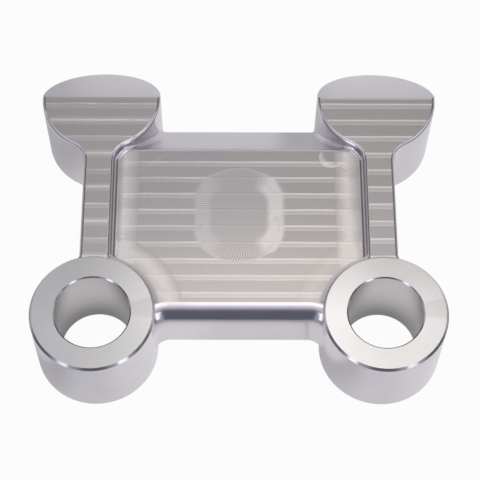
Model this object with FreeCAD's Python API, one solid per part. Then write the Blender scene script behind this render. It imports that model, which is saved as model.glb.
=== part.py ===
import FreeCAD, Part
import math
import os

# Riser pull back plate for a motorcycle handlebar, milled from one aluminium billet.
# Millimetres, +Z up, origin under the middle of the plate. The eyes face -Y and the pads face +Y.

# Bosses: both rows share one spacing and one outside diameter
bolt_spacing = 88.9
pull_back = 76.2
boss_diameter = 38.1

# Heights above the underside of the bosses
eye_height = 28.0
arm_height = 27.0
web_underside = 9.1

# Eyes
eye_bore = 23.0
eye_break = 0.7
bore_break = 0.4

# Arms, with the rounded edge that runs round the arms and pads
arm_width = 9.5
arm_pad_fillet = 6.5
arm_eye_fillet = 2.5
arm_round = 1.0

# Web between the arms: its front wall stands ahead of the eye row, its back wall short of the pad row
web_front_reach = 1.0
web_back_setback = 2.4
web_front_fillet = 4.8
web_back_fillet = 1.5
front_round = 5.6

# Pocket between the arms, cut down to the top of the web
pocket_depth = 1.9
pocket_fillet = 1.6

# Sloped backs of the pads and of the web
pad_slope_angle = 40.0
pad_slope_setback = 0.4
web_slope_angle = 45.0
web_slope_setback = 18.0
slope_round = 2.5

# Tapped holes in the underside of the pads
tapped_diameter = 12.7
tapped_depth = 15.0
drill_point_angle = 118.0

# Edge break round the underside
under_break = 0.5

# Places that follow from the sizes above
boss_radius = boss_diameter / 2
row_x = bolt_spacing / 2
eye_y = -pull_back / 2
pad_y = pull_back / 2
floor_height = arm_height - pocket_depth
web_front_y = eye_y - web_front_reach
web_back_y = pad_y - web_back_setback
web_slope_y = pad_y - web_slope_setback
pad_slope_y = pad_y + pad_slope_setback
up = FreeCAD.Vector(0, 0, 1)


def at(x, y, z=0.0):
    return FreeCAD.Vector(x, y, z)


def line(start, end):
    return Part.LineSegment(start, end).toShape()


def arc(start, middle, end):
    return Part.Arc(start, middle, end).toShape()


def prism(edges, height):
    outline = Part.Wire(Part.__sortEdges__(edges))
    return Part.Face(outline).extrude(up * height)


def corner_arc(boss, corner, wall_point):
    """Concave corner: an arc about `corner` from a wall to the round boss that it touches."""
    to_boss = (boss - corner).normalize()
    to_wall = (wall_point - corner).normalize()
    radius = (wall_point - corner).Length
    middle = corner + (to_boss + to_wall).normalize() * radius
    boss_point = corner + to_boss * radius
    return arc(wall_point, middle, boss_point), boss_point


def boss_arc(start, end, centre):
    """Short arc round a boss from one point of its rim to another."""
    middle = centre + ((start - centre) + (end - centre)).normalize() * boss_radius
    return arc(start, middle, end)


def arm_corner(boss_y, radius, side, toward):
    """Corner between a boss and one wall of its arm; `toward` is the way along Y from boss to arm."""
    reach_x = arm_width / 2 + radius
    reach_y = math.sqrt((boss_radius + radius) ** 2 - reach_x**2)
    corner = at(row_x + side * reach_x, boss_y + toward * reach_y)
    wall_point = at(row_x + side * arm_width / 2, corner.y)
    edge, boss_point = corner_arc(at(row_x, boss_y), corner, wall_point)
    return edge, wall_point, boss_point


def web_corner(boss_y, wall_y, radius, outward):
    """Corner between a boss and the front or back wall of the web; `outward` is the way the wall faces."""
    corner_y = wall_y + outward * radius
    reach_x = math.sqrt((boss_radius + radius) ** 2 - (corner_y - boss_y) ** 2)
    corner = at(row_x - reach_x, corner_y)
    wall_point = at(corner.x, wall_y)
    edge, boss_point = corner_arc(at(row_x, boss_y), corner, wall_point)
    return edge, wall_point, boss_point


def slope_cutter(start_y, start_z, angle):
    """Everything above a plane that falls towards +Y from the line y = start_y, z = start_z."""
    reach = 4 * boss_diameter
    half = bolt_spacing + boss_diameter
    fall = reach * math.tan(math.radians(angle))
    corners = [
        at(-half, start_y, start_z),
        at(-half, start_y + reach, start_z - fall),
        at(-half, start_y + reach, start_z + reach),
        at(-half, start_y, start_z + reach),
    ]
    face = Part.Face(Part.makePolygon(corners + corners[:1]))
    return face.extrude(at(2 * half, 0))


def flat_edges(shape, height):
    return [e for e in shape.Edges if all(abs(v.Z - height) < 1e-6 for v in e.Vertexes)]


def arm_and_pad():
    """One arm with its pad, run into the middle of the eye, with its top edges rounded."""
    edges = []
    eye_points = []
    pad_points = []
    for side in (1, -1):
        pad_edge, pad_wall, pad_point = arm_corner(pad_y, arm_pad_fillet, side, -1)
        eye_edge, eye_wall, eye_point = arm_corner(eye_y, arm_eye_fillet, side, 1)
        edges += [pad_edge, line(pad_wall, eye_wall), eye_edge, line(eye_point, at(row_x, eye_y))]
        eye_points.append(eye_point)
        pad_points.append(pad_point)
    edges.append(arc(pad_points[0], at(row_x, pad_y + boss_radius), pad_points[1]))
    body = prism(edges, arm_height)
    buried = at(row_x, eye_y, arm_height)
    rim = [
        e
        for e in flat_edges(body, arm_height)
        if all((v.Point - buried).Length > 1e-6 for v in e.Vertexes)
    ]
    return body.makeFillet(arm_round, rim)


def eye():
    """Solid eye boss with the rim of its top face broken."""
    body = Part.makeCylinder(boss_radius, eye_height, at(row_x, eye_y))
    rim = flat_edges(body, eye_height)
    return body.makeChamfer(eye_break, rim)


def web():
    """Block between the arms: flat floor, rounded front edge, sloped back edge."""
    front_edge, front_wall, front_boss = web_corner(eye_y, web_front_y, web_front_fillet, -1)
    back_edge, back_wall, back_boss = web_corner(pad_y, web_back_y, web_back_fillet, 1)
    half = [
        front_edge,
        line(front_boss, at(row_x, eye_y)),
        line(at(row_x, eye_y), at(row_x, pad_y)),
        line(at(row_x, pad_y), back_boss),
        back_edge,
    ]
    mirrored = [e.mirror(at(0, 0), at(1, 0)) for e in half]
    spans = [
        line(front_wall, at(-front_wall.x, front_wall.y)),
        line(back_wall, at(-back_wall.x, back_wall.y)),
    ]
    body = prism(half + mirrored + spans, floor_height - web_underside)
    body.translate(up * web_underside)
    lip = [e for e in flat_edges(body, floor_height) if is_front_lip(e)]
    return sloped(body.makeFillet(front_round, lip))


def sloped(body):
    """The body with its back cut down to the slope and the brow above the slope rounded."""
    body = body.cut(slope_cutter(web_slope_y, floor_height, web_slope_angle))
    brow = [e for e in flat_edges(body, floor_height) if is_across(e, web_slope_y)]
    return body.makeFillet(slope_round, brow)


def pocket_outline():
    """Plan of the clear space between the arms, from the middle of the eyes to the middle of the pads."""
    pad_edge, pad_wall, pad_point = arm_corner(pad_y, arm_pad_fillet, -1, -1)
    eye_edge, eye_wall, eye_point = arm_corner(eye_y, arm_eye_fillet, -1, 1)
    pad_inside = at(row_x - boss_radius, pad_y)
    eye_inside = at(row_x - boss_radius, eye_y)
    half = [
        boss_arc(pad_point, pad_inside, at(row_x, pad_y)),
        pad_edge,
        line(pad_wall, eye_wall),
        eye_edge,
        boss_arc(eye_point, eye_inside, at(row_x, eye_y)),
    ]
    mirrored = [e.mirror(at(0, 0), at(1, 0)) for e in half]
    spans = [line(p, at(-p.x, p.y)) for p in (pad_inside, eye_inside)]
    return half + mirrored + spans


def pocket_space():
    """Clear space between the arms, over the floor and the slope, with its bottom corners rounded."""
    ground = sloped(Part.makeBox(bolt_spacing, pull_back, floor_height, at(-row_x, eye_y)))
    space = prism(pocket_outline(), arm_height).cut(ground)
    return space.makeFillet(pocket_fillet, [e for e in space.Edges if is_foot(e)])


def pocket_fillets():
    """Concave fillet that the pocket cutter leaves along the arms, eyes and pads."""
    front_y = web_front_y + front_round
    height = arm_height - arm_round - web_underside
    window = Part.makeBox(bolt_spacing, web_back_y - front_y, height, at(-row_x, front_y, web_underside))
    return prism(pocket_outline(), arm_height).common(window).cut(pocket_space())


def is_foot(edge):
    low = all(v.Z < floor_height + 1e-6 for v in edge.Vertexes)
    return low and not is_across(edge, edge.Vertexes[0].Y)


def is_front_lip(edge):
    in_front = all(v.Y < web_front_y + 1e-6 for v in edge.Vertexes)
    buried = any(abs(abs(v.X) - row_x) < 1e-6 for v in edge.Vertexes)
    return in_front and not buried


def is_across(edge, y):
    return all(abs(v.Y - y) < 1e-6 for v in edge.Vertexes)


def eye_bore_cutter(side):
    """Straight bore with a small break at both rims."""
    radius = eye_bore / 2
    place = at(side * row_x, eye_y)
    bore = Part.makeCylinder(radius, eye_height, place)
    low = Part.makeCone(radius + bore_break, radius, bore_break, place)
    high = Part.makeCone(radius, radius + bore_break, bore_break, place + up * (eye_height - bore_break))
    return bore.fuse([low, high])


def tapped_hole_cutter(side):
    """Blind hole from below that ends in a drill point."""
    radius = tapped_diameter / 2
    point = radius / math.tan(math.radians(drill_point_angle / 2))
    place = at(side * row_x, pad_y)
    lead = Part.makeCone(radius + under_break, radius, under_break, place)
    bore = Part.makeCylinder(radius, tapped_depth, place)
    tip = Part.makeCone(radius, 0, point, place + up * tapped_depth)
    return bore.fuse([lead, tip])


def plate():
    side = arm_and_pad().fuse(eye())
    other = side.mirror(at(0, 0), at(1, 0))
    body = side.fuse([other, web(), pocket_fillets()]).removeSplitter()
    body = body.cut(slope_cutter(pad_slope_y, arm_height, pad_slope_angle))
    body = body.makeChamfer(under_break, flat_edges(body, 0.0))
    for direction in (1, -1):
        body = body.cut(eye_bore_cutter(direction))
        body = body.cut(tapped_hole_cutter(direction))
    return body.removeSplitter()


os.makedirs("parts", exist_ok=True)
plate().exportStep("parts/pull_back_plate.step")
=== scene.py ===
import math
from collections import namedtuple

import bpy
from mathutils import Matrix, Vector


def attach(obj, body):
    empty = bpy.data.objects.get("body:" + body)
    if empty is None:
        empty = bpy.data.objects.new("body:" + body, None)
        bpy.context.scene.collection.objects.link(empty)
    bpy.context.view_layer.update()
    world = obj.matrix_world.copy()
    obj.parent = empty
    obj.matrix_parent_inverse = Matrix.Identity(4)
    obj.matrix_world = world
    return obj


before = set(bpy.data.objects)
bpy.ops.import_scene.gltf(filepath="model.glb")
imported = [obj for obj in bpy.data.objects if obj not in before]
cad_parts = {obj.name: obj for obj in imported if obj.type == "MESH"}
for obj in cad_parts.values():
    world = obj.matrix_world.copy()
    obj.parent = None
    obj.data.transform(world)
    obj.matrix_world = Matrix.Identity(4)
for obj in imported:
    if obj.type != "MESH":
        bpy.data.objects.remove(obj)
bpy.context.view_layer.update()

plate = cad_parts["pull_back_plate"]

# The patterns below are written in millimetres
MM = 1000.0

# Places on the plate that the finishes follow
row_x = 44.45
eye_y = -38.1
pad_y = 38.1
bore_radius = 11.5
boss_radius = 19.05
eye_height = 28.0
arm_height = 27.0
floor_height = 25.1
pocket_fillet = 1.6
slope_y = 20.1
# Height of the painted shade line in the crease along the pocket wall
crease_shade_height = 26.0

# A face of the mesh counts as level past this share, and as lying at a place within this slack
level_share = 0.999
slack = 0.1

# Facing passes on the arms and pads, and on the floor of the pocket
top_first, top_pitch = 36.19, 6.09
floor_first, floor_pitch = 15.68, 5.723

# Painted highlights on the lines between passes grow from dull to bright over this stretch of X
line_span = (-45.0, 25.0)

# Depth of the streaks on the smooth walls and of the lines between passes, and roughness of the passes
streak_depth = 0.003
line_depth = 0.01
pass_roughness = (0.3, 0.38)

# Ridges left by the passes round the edge of the floor, beside the arms and round the eyes; their light tops
# are painted highlights
Ridge = namedtuple("Ridge", "inner top outer")
left_ridge = Ridge(31.6, 36.1, 37.8)
right_ridge = Ridge(30.2, 34.1, 37.6)
eye_ridge = Ridge(20.1, 23.9, 27.2)
eye_pass_radius = 27.8
pass_edge = 0.4
pass_cutter_radius = 4.0
pass_feed = 0.8
ring_pitch = 0.68

# The facing passes show through the passes round the edge by a share, over this plain tone
edge_tone = 1.03
edge_share = 0.6

# Patch that the cutter cleared in the middle of the floor: each side is a * x + b * y = c
patch_y = -3.3
patch_half_x = 14.7
patch_sides = [(0.0, 1.0, 17.0), (0.41, 1.0, 18.1), (1.83, 1.0, 34.9), (1.0, 0.0, patch_half_x)]
patch_inside = 0.6

# Painted shade in the reflection: a darker wedge across the turned face of each eye, in radians from +X
shaded_wedge_angle = 0.08
shaded_wedge_half = 0.14

# Scratch and cutter mark at the back of the floor
scratch_x, scratch_y = -27.3, 15.2
scratch_half = 6.1
scratch_angle = math.radians(37.8)
mark_x, mark_y = 29.3, 17.2
mark_radius = 3.9
mark_shift = 1.6

# Thread ridge in each tapped hole: it stands on the wall of the hole and fades in and out at its ends
tapped_radius = 6.35
thread_pitch = 1.954
thread_depth = 0.85
thread_foot, thread_crest = 0.8, 0.12
thread_start, thread_end = 1.0, 13.6
thread_buried = 0.05
thread_steps = 48

# Camera: a long lens that looks down on the front of the plate, places in metres, angles in degrees
camera_lens = 120.4
camera_sensor = 36.0
camera_elevation = 63.22
camera_azimuth = -0.725
camera_roll = 0.774
camera_distance = 0.509
camera_aside = 0.000457
camera_above = 0.034123
camera_origin = Vector((0.0, -0.0381, 0.0005))

# Tints of the bare metal: cool on the walls, a little warmer on the milled tops
wall_tint = (1.0, 0.95, 1.015)
eye_tint = (1.0, 0.985, 1.015)
top_tint = (1.0, 0.955, 0.975)
warm_shift = (0.0, -0.012, -0.04)

# Paper under the plate, and the pool of light in it that the metal mirrors
floor_gap = 0.05
floor_radius = 4000.0
paper_grey = 0.62
pool_middle = (15.0, 10.0, 0.0)
pool_near, pool_far = 50.0, 190.0
pool_bright, pool_dim = 0.62, 0.1

# White that the camera sees: share of it in the paper, and level of it in the room
seen_paper = 0.96
seen_room = 0.97

# Colour of the room at its cool front, the change from there to its warm back, and the glow overhead
front_colour = (0.88, 0.92, 1.12)
back_shift = (0.12, 0.08, -0.12)
glow_level = 0.91


def make_camera():
    """Camera at the viewing angle of the photo."""
    elevation = math.radians(camera_elevation)
    azimuth = math.radians(camera_azimuth)
    roll = math.radians(camera_roll)
    back = Vector((
        math.sin(azimuth) * math.cos(elevation),
        -math.cos(azimuth) * math.cos(elevation),
        math.sin(elevation),
    ))
    level = Vector((math.cos(azimuth), math.sin(azimuth), 0.0))
    rise = back.cross(level)
    right = level * math.cos(roll) + rise * math.sin(roll)
    up = rise * math.cos(roll) - level * math.sin(roll)
    place = camera_origin + right * camera_aside + up * camera_above + back * camera_distance
    data = bpy.data.cameras.new("camera")
    data.lens = camera_lens
    data.sensor_width = camera_sensor
    data.clip_start = 0.01
    data.clip_end = 100.0
    camera = bpy.data.objects.new("camera", data)
    camera.matrix_world = Matrix.Translation(place) @ Matrix((right, up, back)).transposed().to_4x4()
    bpy.context.scene.collection.objects.link(camera)
    bpy.context.scene.camera = camera


class Nodes:
    """Short calls that add nodes to a tree. Numbers and sockets can be mixed freely."""

    def __init__(self, tree):
        self.tree = tree

    def add(self, kind, *inputs, **settings):
        node = self.tree.nodes.new(kind)
        for key, value in settings.items():
            setattr(node, key, value)
        for socket, value in zip(node.inputs, inputs):
            self.put(socket, value)
        return node

    def put(self, socket, value):
        if isinstance(value, bpy.types.NodeSocket):
            self.tree.links.new(value, socket)
        else:
            socket.default_value = value

    def math(self, operation, a, b=0.0, c=0.0):
        return self.add("ShaderNodeMath", a, b, c, operation=operation).outputs[0]

    def plus(self, a, b):
        return self.math("ADD", a, b)

    def minus(self, a, b):
        return self.math("SUBTRACT", a, b)

    def times(self, first, *others):
        for other in others:
            first = self.math("MULTIPLY", first, other)
        return first

    def size(self, value):
        """The number without its sign."""
        return self.math("ABSOLUTE", value)

    def distance(self, a, b):
        return self.math("SQRT", self.plus(self.times(a, a), self.times(b, b)))

    def vector(self, operation, a, b):
        return self.add("ShaderNodeVectorMath", a, b, operation=operation).outputs["Vector"]

    def join(self, x, y, z=0.0):
        return self.add("ShaderNodeCombineXYZ", x, y, z).outputs[0]

    def split(self, vector):
        return self.add("ShaderNodeSeparateXYZ", vector).outputs

    def millimetres(self):
        """Place on the object, in millimetres."""
        place = self.add("ShaderNodeTexCoord").outputs["Object"]
        return self.vector("MULTIPLY", place, (MM, MM, MM))

    def ramp(self, value, low, high, start=0.0, end=1.0):
        """Smooth change from start to end as value goes from low to high."""
        node = self.add("ShaderNodeMapRange", value, low, high, start, end)
        node.interpolation_type = "SMOOTHSTEP"
        return node.outputs[0]

    def mix(self, share, a, b):
        """Number a where share is 0 and b where it is 1."""
        return self.math("MULTIPLY_ADD", share, self.minus(b, a), a)

    def where(self, share, factor):
        """Factor that is 1 where share is 0, and the one given where it is 1."""
        return self.mix(share, 1.0, factor)

    def band(self, value, low, rise, fall, high):
        """Share that is 1 from rise to fall and fades to 0 at low and at high."""
        return self.times(self.ramp(value, low, rise), self.ramp(value, fall, high, 1.0, 0.0))

    def tint(self, brightness, colour):
        node = self.add("ShaderNodeVectorMath", colour, operation="SCALE")
        self.put(node.inputs["Scale"], brightness)
        return node.outputs["Vector"]


class Finish(Nodes):
    """One metal finish. Places are in millimetres on the plate."""

    def __init__(self, name):
        self.material = bpy.data.materials.new(name)
        self.material.use_nodes = True
        super().__init__(self.material.node_tree)
        self.shader = self.tree.nodes["Principled BSDF"]
        self.place = self.millimetres()
        self.x, self.y, self.z = self.split(self.place)
        self.side = self.size(self.x)

    def noise(self, where, scale=1.0, detail=2.0):
        node = self.add("ShaderNodeTexNoise", normalize=True)
        self.put(node.inputs["Vector"], where)
        node.inputs["Scale"].default_value = scale
        node.inputs["Detail"].default_value = detail
        return node.outputs[0]

    def grain(self, level, upright):
        """Noise drawn out along the way with the smaller scale."""
        return self.noise(self.vector("MULTIPLY", self.place, (level, level, upright)))

    def vary(self, noise, by):
        """Factor that follows the noise, from a share under 1 to as much over it."""
        return self.mix(noise, 1.0 - by, 1.0 + by)

    def chance(self, value):
        """One random number from 0 to 1 for each whole number."""
        return self.add("ShaderNodeTexWhiteNoise", (0.0, 0.0, 0.0), value, noise_dimensions="1D").outputs[0]

    def warmer(self, tint, front=0.0):
        """The tint, a little warmer towards the right of the plate, and towards the front by a share."""
        to_right = self.ramp(self.x, -20.0, 45.0)
        to_front = self.ramp(self.y, 5.0, -30.0)
        warmth = self.plus(to_right, self.times(to_front, front))
        return self.vector("ADD", self.tint(warmth, warm_shift), tint)

    def bump(self, height, depth):
        node = self.add("ShaderNodeBump")
        node.inputs["Distance"].default_value = depth / MM
        self.put(node.inputs["Height"], height)
        return node.outputs["Normal"]

    def finish(self, brightness, tint, roughness, normal):
        """Metal of this brightness, held under full white so that the tint stays."""
        held = self.math("MINIMUM", brightness, 1.0)
        self.put(self.shader.inputs["Base Color"], self.tint(held, tint))
        self.put(self.shader.inputs["Roughness"], roughness)
        self.put(self.shader.inputs["Normal"], normal)
        self.shader.inputs["Metallic"].default_value = 1.0
        return self.material


def crease_shade(f):
    """Painted shade: a dark line along the pocket wall, where the rounded edge of the arm meets the fillet
    of the floor.
    """
    height = f.ramp(f.size(f.minus(f.z, crease_shade_height)), 0.06, 0.22, 1.0, 0.0)
    inside = f.ramp(f.side, row_x - 3.8, row_x - 3.3, 1.0, 0.0)
    length = f.band(f.y, -24.0, -22.0, 26.0, 30.0)
    return f.where(f.times(height, inside, length), 0.4)


def smooth_metal(name, brightness, roughness):
    """Side walls, slopes and rounds: a fine finish with faint streaks, and a painted shade line in the
    crease along the pocket wall.
    """
    f = Finish(name)
    streaks = f.grain(0.15, 2.5)
    clouds = f.noise(f.place, 0.12)
    shade = f.times(f.vary(streaks, 0.04), f.vary(clouds, 0.05), crease_shade(f))
    rough = f.mix(streaks, roughness, roughness + 0.08)
    return f.finish(f.times(shade, brightness), wall_tint, rough, f.bump(streaks, streak_depth))


def foot_metal():
    """Foot of each eye, cut with a ball cutter: dull, with painted light that makes it lighter on the right
    of the plate.
    """
    f = Finish("foot_metal")
    streaks = f.grain(0.15, 2.5)
    # Painted light: lighter on the right of the plate
    brightness = f.times(f.vary(streaks, 0.04), f.ramp(f.x, -row_x, row_x, 0.85, 1.0))
    return f.finish(brightness, top_tint, f.mix(streaks, 0.55, 0.65), f.bump(streaks, streak_depth))


def bored_metal():
    """Inside of the eyes: fine turning rings, with painted shade that darkens them towards the bottom of the
    bore.
    """
    f = Finish("bored_metal")
    rings = f.grain(0.02, 6.0)
    # Painted shade: darker deeper in the bore
    brightness = f.times(f.ramp(f.z, 4.0, 24.0, 0.59, 0.74), f.vary(rings, 0.05))
    return f.finish(brightness, top_tint, f.mix(rings, 0.2, 0.28), f.bump(rings, 0.004))


def eye_metal():
    """Top faces of the eyes: fine turning rings about each bore, with painted reflections on them (one
    darker wedge across them and a bow-tie sheen that is lighter along X), and painted light that makes them
    lighter on the right.
    """
    f = Finish("eye_metal")
    across = f.minus(f.side, row_x)
    along = f.minus(f.y, eye_y)
    aside = f.times(across, f.math("SIGN", f.x))
    radius = f.distance(across, along)
    rings = f.noise(f.join(f.times(radius, 4.0), 0.0))
    clouds = f.noise(f.place, 0.1)
    # Painted light: a little lighter on the right of the plate
    to_right = f.ramp(f.x, -row_x, row_x, 0.95, 1.03)
    # Painted reflection of the turned rings: a darker wedge and a bow-tie sheen
    turn = f.size(f.minus(f.math("ARCTAN2", along, aside), shaded_wedge_angle))
    shaded_wedge = f.ramp(turn, shaded_wedge_half, shaded_wedge_half + 0.1, 0.9, 1.0)
    level = f.math("DIVIDE", aside, radius)
    bow_sheen = f.mix(f.times(level, level), 0.945, 1.09)
    brightness = f.times(f.mix(rings, 0.77, 0.81), f.vary(clouds, 0.05), to_right, shaded_wedge, bow_sheen)
    way = f.join(f.times(along, -1.0), aside)
    f.put(f.shader.inputs["Tangent"], f.vector("NORMALIZE", way, (0.0, 0.0, 0.0)))
    f.shader.inputs["Anisotropic"].default_value = 0.25
    return f.finish(brightness, f.warmer(eye_tint), f.mix(rings, 0.2, 0.26), f.bump(rings, 0.002))


def pass_count(f, first, pitch):
    """Number of the facing pass at each place, with the share of the pass as its fraction."""
    wobble = f.noise(f.join(f.times(f.x, 0.09), f.times(f.y, 0.3)))
    place = f.plus(f.y, f.mix(wobble, -0.2, 0.2))
    return f.math("DIVIDE", f.minus(first, place), pitch)


def passes(f, count):
    """Facing passes: a bright line at each step, a lighter overlap in front of it, then the plain pass. The
    lines are painted highlights, and painted light makes lines and overlap brighter towards the right.
    """
    share = f.math("FRACT", count)
    row = f.math("FLOOR", count)
    to_right = f.ramp(f.x, *line_span)
    line = f.math("MAXIMUM", f.ramp(share, 0.04, 0.1, 1.0, 0.0), f.ramp(share, 0.955, 0.985))
    overlap = f.ramp(share, 0.29, 0.34, 1.0, 0.0)
    second = f.times(f.ramp(share, 0.22, 0.28), overlap)
    glint = f.noise(f.join(f.times(f.x, 0.1), f.times(row, 3.7)))
    ticks = f.noise(f.join(f.times(f.x, 2.2), f.times(f.y, 0.15)))
    # Painted highlight: glints on the step lines, broken on the left and whole on the right
    bright = f.times(line, f.mix(to_right, f.ramp(glint, 0.42, 0.62, 0.3, 1.0), 1.0))
    faint = f.times(second, f.mix(to_right, f.ramp(glint, 0.45, 0.65, 0.0, 0.5), 0.7))
    tone = f.times(
        f.mix(f.chance(row), 0.96, 1.03),
        f.mix(overlap, 0.97, f.mix(to_right, 1.1, 1.17)),
        f.vary(ticks, 0.06),
        f.where(bright, 1.45),
        f.where(faint, 1.2),
    )
    return tone, line, ticks


def top_metal():
    """Tops of the arms and pads: facing passes, and a painted highlight on the lip where the slope of the
    pad begins.
    """
    f = Finish("top_metal")
    count = pass_count(f, top_first, top_pitch)
    tone, line, ticks = passes(f, count)
    step = f.math("ROUND", count)
    near = f.ramp(f.size(f.minus(count, step)), 0.02, 0.24, 1.0, 0.0)
    every_other = f.math("FLOORED_MODULO", step, 2.0)
    glow = f.times(near, every_other, f.ramp(f.x, *line_span, 1.0, 0.0))
    # Painted highlight on the lip of the pad slope, stronger on the right
    lip_highlight = f.times(f.ramp(f.y, pad_y - 0.5, pad_y - 0.1), f.ramp(f.x, -45.0, 45.0, 0.2, 1.0))
    to_front = f.ramp(f.y, -25.0, 10.0, 0.65, 0.6)
    brightness = f.times(tone, f.where(glow, 1.25), f.where(lip_highlight, 1.5), to_front)
    return f.finish(brightness, f.warmer(top_tint), f.mix(ticks, *pass_roughness), f.bump(line, line_depth))


def cutter_arcs(f, across, along):
    """Curved marks of a round cutter that feeds along one way, strong in some stretches."""
    inside = f.math("MAXIMUM", f.minus(pass_cutter_radius**2, f.times(across, across)), 0.01)
    phase = f.math("DIVIDE", f.minus(along, f.math("SQRT", inside)), pass_feed)
    wave = f.math("SINE", f.times(phase, math.tau))
    strength = f.ramp(f.noise(f.join(f.times(across, 0.3), f.times(along, 0.16))), 0.46, 0.6, 0.0, 0.28)
    return f.times(wave, strength)


def ridge_height(f, value, ridge):
    """Height of the ridge along a pass: 1 at its top, 0 at its feet and a little less past them."""
    rise = f.math("DIVIDE", f.minus(value, ridge.inner), ridge.top - ridge.inner)
    fall = f.math("DIVIDE", f.minus(ridge.outer, value), ridge.outer - ridge.top)
    return f.math("MAXIMUM", f.math("MINIMUM", rise, fall), -0.2)


def arm_pass(f, count, soft_rows):
    """Pass beside each arm: its share, and its tone with faint rings once in two facing passes and a painted
    highlight along its ridge, stronger on the right.
    """
    right = f.math("GREATER_THAN", f.x, 0.0)
    past_foot = f.minus(f.side, f.mix(right, left_ridge.inner, right_ridge.inner))
    across = f.minus(f.side, f.mix(right, left_ridge.top, right_ridge.top))
    rows = f.mix(f.ramp(across, -0.5, 1.2), soft_rows, edge_tone)
    height = f.mix(right, ridge_height(f, f.side, left_ridge), ridge_height(f, f.side, right_ridge))
    # Painted highlight along the top of the ridge
    crest_highlight = f.plus(1.0, f.times(height, f.mix(right, 0.47, 0.6)))

    pair = f.math("FRACT", f.minus(f.times(count, 0.5), 0.35))
    along = f.times(f.minus(pair, 0.5), 2.0 * floor_pitch)
    block = f.ramp(f.size(along), 2.0, 5.0, 1.05, 0.95)
    warp = f.mix(f.noise(f.place, 0.5), -0.9, 0.9)
    spread = f.plus(f.distance(across, f.times(along, 0.5)), warp)
    rings = f.math("SINE", f.times(spread, math.tau / ring_pitch))
    strength = f.ramp(f.noise(f.place, 0.45), 0.38, 0.62, 0.0, 0.1)
    ringed = f.plus(1.0, f.times(rings, strength, f.ramp(height, 0.2, 0.7)))
    return f.ramp(past_foot, -pass_edge, pass_edge), f.times(rows, crest_highlight, block, ringed)


def eye_pass(f, soft_rows):
    """Pass round each eye: its share, and its tone with cutter arcs and a painted highlight along its ridge.
    It is fainter on the right.
    """
    across = f.minus(f.side, row_x)
    along = f.minus(f.y, eye_y)
    radius = f.distance(across, along)
    to_right = f.ramp(f.x, -30.0, 30.0)
    inside = f.ramp(radius, eye_pass_radius - pass_edge, eye_pass_radius + pass_edge, 1.0, 0.0)
    # Painted highlight along the top of the ridge
    crest_highlight = f.plus(0.95, f.times(ridge_height(f, radius, eye_ridge), f.mix(to_right, 0.4, 0.2)))
    turn = f.times(f.math("ARCTAN2", along, across), eye_pass_radius)
    arcs = f.times(cutter_arcs(f, f.minus(radius, eye_ridge.top), turn), 0.6)
    return f.times(inside, f.where(to_right, 0.45)), f.times(soft_rows, crest_highlight, f.plus(1.0, arcs))


def patch_reach(f, up):
    """How far out in the patch a place lies: 0 in the middle and 1 on the rim."""
    tall = f.size(up)
    reach = 0.0
    for a, b, c in patch_sides:
        side = f.plus(f.times(f.side, a / c), f.times(tall, b / c))
        reach = f.math("SMOOTH_MAX", reach, side, 0.05)
    return f.plus(reach, f.mix(f.noise(f.place, 0.12), -0.04, 0.04))


def patch(f, ticks):
    """Cleared round patch: its share, and its tone with a ring of cutter arcs that carries painted
    highlights at the sides.
    """
    up = f.minus(f.y, patch_y)
    reach = patch_reach(f, up)
    share = f.ramp(reach, f.ramp(f.side, 7.0, 13.0, 0.97, 0.88), 1.0, 1.0, 0.0)
    rim = f.times(share, f.ramp(reach, 0.93, 0.98), f.ramp(f.x, 4.0, 12.0, 1.0, 0.3))
    in_ring = f.ramp(reach, patch_inside - 0.05, patch_inside + 0.1)
    out_of_ring = f.times(f.minus(reach, (patch_inside + 1.0) / 2), patch_half_x)
    turn = f.times(f.math("ARCTAN2", up, f.x), patch_half_x)
    arcs = f.times(cutter_arcs(f, out_of_ring, turn), in_ring)
    aside = f.math("DIVIDE", f.x, f.times(f.math("MAXIMUM", reach, 0.2), patch_half_x))
    # Painted highlights where the grooves of the ring catch the light, stronger on the right
    right_sheen = f.times(in_ring, f.ramp(aside, 0.4, 0.85))
    left_sheen = f.times(in_ring, f.ramp(aside, -0.4, -0.85))
    tone = f.times(
        f.plus(1.05, arcs),
        f.where(right_sheen, 1.5),
        f.where(left_sheen, 1.15),
        f.where(rim, 1.15),
        f.vary(ticks, 0.05),
    )
    return share, tone


def scratch(f):
    """Light scratch near the back left corner of the floor."""
    x = f.minus(f.x, scratch_x)
    y = f.minus(f.y, scratch_y)
    cosine = math.cos(scratch_angle)
    sine = math.sin(scratch_angle)
    along = f.size(f.plus(f.times(x, cosine), f.times(y, sine)))
    off = f.size(f.minus(f.times(y, cosine), f.times(x, sine)))
    broken = f.ramp(f.noise(f.place, 0.3), 0.35, 0.6, 0.25, 1.0)
    length = f.ramp(along, scratch_half - 1.5, scratch_half, 1.0, 0.0)
    width = f.ramp(off, 0.1, 0.45, 1.0, 0.0)
    return f.where(f.times(length, broken, width), 1.22)


def tool_mark(f):
    """Round mark where the cutter dwelt: a darker disc with a light crescent at its front left."""
    x = f.minus(f.x, mark_x)
    y = f.minus(f.y, mark_y)
    disc = f.ramp(f.distance(x, y), mark_radius - 0.25, mark_radius, 1.0, 0.0)
    shifted = f.distance(f.minus(x, mark_shift), f.minus(y, mark_shift))
    crescent = f.times(disc, f.ramp(shifted, mark_radius - 0.6, mark_radius + 1.4))
    return f.times(f.where(disc, 0.94), f.where(crescent, 1.6))


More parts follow.
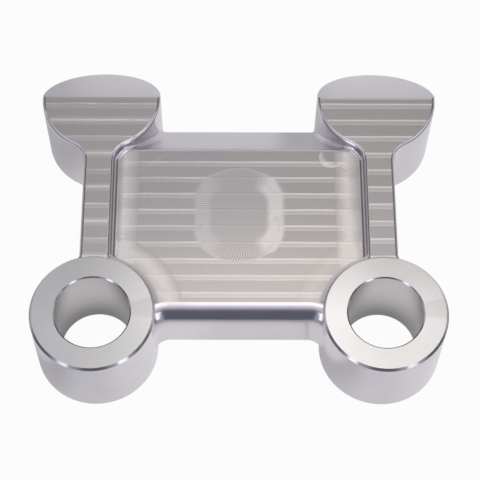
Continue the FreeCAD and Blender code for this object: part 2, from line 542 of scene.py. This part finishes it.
def floor_metal():
    """Floor of the pocket: facing passes, a cleared round patch and the passes round the edge."""
    f = Finish("floor_metal")
    count = pass_count(f, floor_first, floor_pitch)
    rows, line, ticks = passes(f, count)
    soft_rows = f.mix(edge_share, rows, edge_tone)
    in_patch, patch_tone = patch(f, ticks)
    beside_arm, arm_tone = arm_pass(f, count, soft_rows)
    round_eye, eye_tone = eye_pass(f, soft_rows)
    eye_tone = f.math("MAXIMUM", eye_tone, f.times(beside_arm, arm_tone))
    tone = f.mix(in_patch, rows, patch_tone)
    tone = f.mix(beside_arm, tone, arm_tone)
    tone = f.mix(round_eye, tone, eye_tone)
    # Painted light: the pocket floor lighter towards the front
    to_front = f.ramp(f.y, -32.0, 6.0, 0.785, 0.59)
    brightness = f.times(tone, scratch(f), tool_mark(f), to_front)
    tint = f.warmer(top_tint, front=1.2)
    return f.finish(brightness, tint, f.mix(ticks, *pass_roughness), f.bump(line, line_depth))


def under_metal():
    """Underside: wide facing passes."""
    f = Finish("under_metal")
    tone, line, ticks = passes(f, pass_count(f, top_first, 3 * top_pitch))
    return f.finish(f.times(tone, 0.61), top_tint, f.mix(ticks, 0.28, 0.36), f.bump(line, 0.006))


def kind_of_face(middle, normal):
    """Which finish a face of the plate has, from where it lies and the way it looks."""
    to_eye = math.hypot(abs(middle.x) - row_x, middle.y - eye_y)
    above_floor = middle.z - floor_height
    foot = pocket_fillet + slack
    if to_eye < bore_radius + slack and abs(normal.z) < 0.5:
        return "bore"
    if normal.z < -level_share:
        return "under"
    if normal.z > level_share:
        if middle.z > (eye_height + arm_height) / 2:
            return "eye"
        if middle.z > arm_height - slack:
            return "top"
        if abs(above_floor) < slack:
            return "floor"
    if 0.0 < to_eye - boss_radius < foot and 0.0 < above_floor < foot and normal.z > 0.05:
        return "foot"
    if middle.y > pad_y and min(normal.y, normal.z) > 0.5:
        return "pad_slope"
    if middle.y > slope_y and abs(middle.x) < row_x and above_floor < 0.0 and normal.z > 0.1:
        return "web_slope"
    return "wall"


def dress_plate():
    """Give each face of the plate its finish."""
    finishes = {
        "wall": smooth_metal("wall_metal", 0.75, 0.12),
        # The web slope is a darker copy of the slope metal and the pad slopes a lighter one: painted shade
        # where the web slope mirrors the floor in the shadow of the plate
        "web_slope": smooth_metal("web_slope_metal", 0.7, 0.26),
        "pad_slope": smooth_metal("pad_slope_metal", 0.87, 0.28),
        "foot": foot_metal(),
        "bore": bored_metal(),
        "eye": eye_metal(),
        "top": top_metal(),
        "floor": floor_metal(),
        "under": under_metal(),
    }
    plate.data.materials.clear()
    for material in finishes.values():
        plate.data.materials.append(material)
    order = list(finishes)
    for face in plate.data.polygons:
        face.material_index = order.index(kind_of_face(face.center * MM, face.normal))


def thread_section(step, count):
    """Four corners of the ridge at one step of the helix, as distance from the axis and height."""
    fade = min(1.0, step / thread_steps, (count - step) / thread_steps)
    crest = tapped_radius - thread_depth * fade
    wall = tapped_radius + thread_buried
    z = thread_start + step * thread_pitch / thread_steps
    return [
        (wall, z - thread_foot),
        (crest, z - thread_crest),
        (crest, z + thread_crest),
        (wall, z + thread_foot),
    ]


def make_thread(name, x, material):
    """Helical ridge in one tapped hole."""
    count = round((thread_end - thread_start) / thread_pitch * thread_steps)
    points = []
    for step in range(count + 1):
        angle = math.tau * step / thread_steps
        for radius, z in thread_section(step, count):
            points.append((x + radius * math.cos(angle), pad_y + radius * math.sin(angle), z))
    faces = [(3, 2, 1, 0)]
    for step in range(count):
        for corner in range(4):
            here = 4 * step + corner
            beside = 4 * step + (corner + 1) % 4
            faces.append((here, beside, beside + 4, here + 4))
    faces.append(tuple(4 * count + corner for corner in range(4)))
    mesh = bpy.data.meshes.new(name)
    mesh.from_pydata([Vector(p) / MM for p in points], [], faces)
    mesh.materials.append(material)
    piece = bpy.data.objects.new(name, mesh)
    bpy.context.scene.collection.objects.link(piece)
    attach(piece, "root")


def make_threads():
    """One ridge in the tapped hole under each pad."""
    material = smooth_metal("thread_metal", 0.65, 0.16)
    make_thread("thread_left", -row_x, material)
    make_thread("thread_right", row_x, material)


def floor_shade(n, place):
    """Share of the mirrored pool: less to the left of each boss and in the bores, more right of the eyes."""
    x, y = n.split(place)[:2]
    aside = n.minus(x, n.times(n.math("SIGN", x), row_x))
    along = n.minus(y, eye_y)
    radius = n.distance(aside, along)
    by_eye = n.ramp(along, 30.0, 50.0, 1.0, 0.0)
    outside = n.ramp(aside, n.mix(by_eye, -34.0, -24.0), n.mix(by_eye, -26.0, -21.5))
    to_left = n.times(outside, n.ramp(aside, -22.0, -6.0, 1.0, 0.0))
    to_right = n.times(n.band(aside, 0.0, 16.0, 26.0, 40.0), by_eye)
    in_bore = n.band(radius, 5.0, 10.5, 14.0, 16.0)
    return n.times(n.where(to_left, 0.52), n.where(to_right, 1.17), n.where(in_bore, 0.4))


def paper_material():
    """White to the camera, lit in pools where the metal mirrors it, clear from below."""
    material = bpy.data.materials.new("white_floor")
    material.use_nodes = True
    n = Nodes(material.node_tree)
    n.tree.nodes.clear()
    paper = n.add("ShaderNodeBsdfDiffuse", (paper_grey, paper_grey, paper_grey, 1.0)).outputs[0]
    white = n.add("ShaderNodeEmission", (1.0, 1.0, 1.0, 1.0), 1.0).outputs[0]
    rays = n.add("ShaderNodeLightPath").outputs
    mirrored = n.math("MAXIMUM", rays["Is Glossy Ray"], rays["Is Transmission Ray"])
    place = n.millimetres()
    away = n.add("ShaderNodeVectorMath", place, pool_middle, operation="DISTANCE").outputs["Value"]
    pool = n.times(n.ramp(away, pool_near, pool_far, pool_bright, pool_dim), floor_shade(n, place))
    share = n.plus(n.times(rays["Is Camera Ray"], seen_paper), n.times(mirrored, pool))
    both = n.add("ShaderNodeMixShader", share, paper, white).outputs[0]
    clear = n.add("ShaderNodeBsdfTransparent").outputs[0]
    from_below = n.add("ShaderNodeNewGeometry").outputs["Backfacing"]
    n.add("ShaderNodeOutputMaterial", n.add("ShaderNodeMixShader", from_below, both, clear).outputs[0])
    return material


def make_floor():
    """Round sheet of paper just under the plate."""
    bpy.ops.mesh.primitive_circle_add(
        vertices=96,
        radius=floor_radius / MM,
        fill_type="NGON",
        location=(0, 0, -floor_gap / MM),
    )
    floor = bpy.context.object
    floor.name = "floor"
    floor.data.materials.append(paper_material())


def room_light(n):
    """Colour and level of the room: a dark front, a light back wall with dark corners, a glow overhead."""
    x, y, z = n.split(n.add("ShaderNodeTexCoord").outputs["Generated"])
    away = n.size(x)
    behind = n.ramp(y, -0.1, 0.4)
    at_back = n.ramp(y, 0.25, 0.4)
    corner = n.times(at_back, n.ramp(away, 0.4, 0.6))
    flag = n.times(at_back, n.ramp(away, 0.15, 0.3), n.band(z, 0.4, 0.55, 0.8, 0.87))
    back_wall = n.times(n.ramp(z, 0.0, 0.9, 0.72, 0.46), n.where(corner, 0.65), n.where(flag, 0.3))
    glow = n.times(n.ramp(y, -0.6, 0.08), n.ramp(y, -0.04, 0.06, 1.0, 0.0), n.ramp(z, 0.5, 0.8))
    front = n.times(n.ramp(away, 0.2, 0.4, 0.14, 0.4), n.ramp(away, 0.75, 0.88, 1.0, 0.35))
    level = n.mix(glow, n.mix(behind, front, back_wall), glow_level)
    warmth = n.math("MAXIMUM", behind, glow)
    return n.vector("ADD", n.tint(warmth, back_shift), front_colour), level


def make_room():
    """Room that the metal mirrors. The camera sees plain white in its place."""
    world = bpy.data.worlds.new("studio")
    bpy.context.scene.world = world
    world.use_nodes = True
    n = Nodes(world.node_tree)
    n.tree.nodes.clear()
    room = n.add("ShaderNodeBackground", *room_light(n)).outputs[0]
    white = n.add("ShaderNodeBackground", (1.0, 1.0, 1.0, 1.0), seen_room).outputs[0]
    seen = n.add("ShaderNodeLightPath").outputs["Is Camera Ray"]
    n.add("ShaderNodeOutputWorld", n.add("ShaderNodeMixShader", seen, room, white).outputs[0])


def make_lamp(name, place, size, radiance, colour=(1.0, 1.0, 1.0), aim=True):
    """Soft box that faces the plate, or straight down; radiance 1 shows as white in a mirror."""
    data = bpy.data.lights.new(name, "AREA")
    data.shape = "RECTANGLE"
    data.size, data.size_y = size
    data.energy = radiance * math.pi * size[0] * size[1]
    data.color = colour
    lamp = bpy.data.objects.new(name, data)
    lamp.location = place
    if aim:
        lamp.rotation_mode = "QUATERNION"
        lamp.rotation_quaternion = Vector(place).to_track_quat("Z", "Y")
    bpy.context.scene.collection.objects.link(lamp)


def make_lamps():
    """Soft boxes, with places and sizes in metres."""
    make_lamp("overhead", (0.085, 0.365, 1.6), (0.45, 0.73), 1.12, (1.0, 0.97, 0.93), aim=False)
    make_lamp("front_left", (-0.85, -0.95, 0.95), (0.38, 1.2), 1.05)
    make_lamp("front_right", (0.8, -1.0, 0.95), (0.38, 1.2), 1.05)
    make_lamp("side_left", (-1.5, -0.1, 1.1), (1.2, 1.2), 0.2)
    make_lamp("side_right", (1.5, -0.1, 1.1), (1.2, 1.2), 0.4)


make_camera()
make_floor()
make_room()
make_lamps()
dress_plate()
make_threads()
bpy.context.scene.view_settings.view_transform = "Standard"
